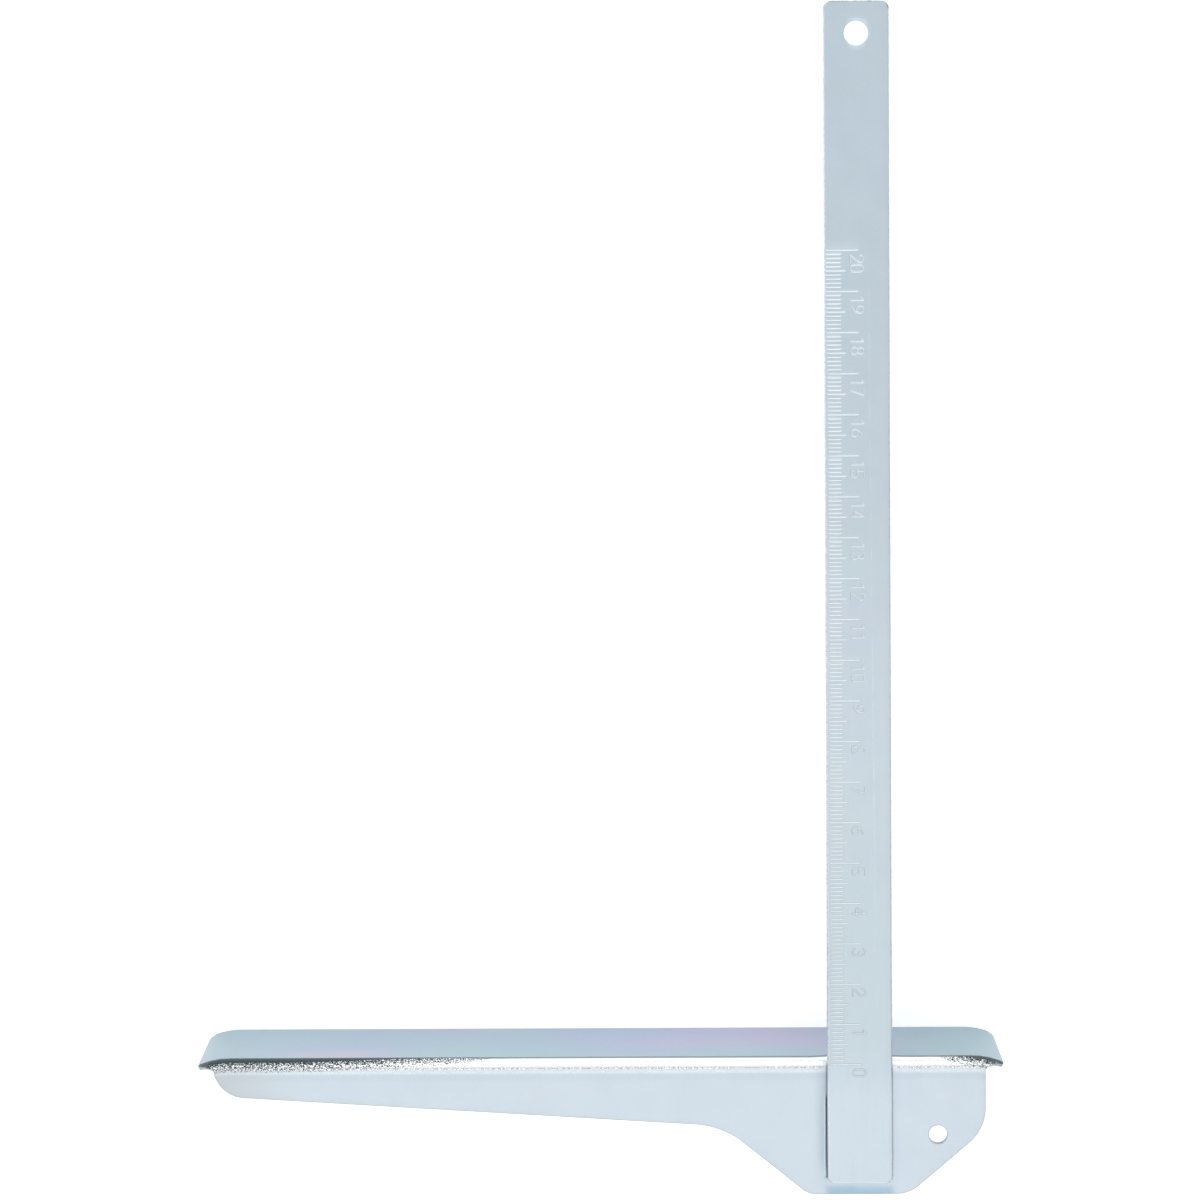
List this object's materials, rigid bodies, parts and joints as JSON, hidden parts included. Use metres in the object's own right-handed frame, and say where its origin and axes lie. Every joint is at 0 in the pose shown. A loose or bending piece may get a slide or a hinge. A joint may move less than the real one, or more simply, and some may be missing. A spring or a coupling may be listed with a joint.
{
  "type": "saw guide rule",
  "caption": "Graduated steel blade welded square into a folded steel fence, used as an edge guide and rule for a hand-held saw.",
  "frame": {"origin": "on the underside of the blade, on its centre line, where the plane of the fence face crosses it", "axes": "+X along the fence towards its short end, +Y along the blade from the fence to its free end, +Z out of the graduated face"},
  "size_m": [0.1987, 0.2929, 0.0263],
  "materials": {
    "blade_zinc": "bright zinc plating over rolled bar, faint lengthwise grain",
    "fence_zinc": "blue-passivated zinc plating over pressed sheet, faint iridescence",
    "weld_metal": "plated weld metal"
  },
  "bodies": {
    "root": {"graduated_blade": "blade_zinc", "fence_plate": "fence_zinc", "weld_nuggets": "weld_metal"}
  },
  "joints": []
}
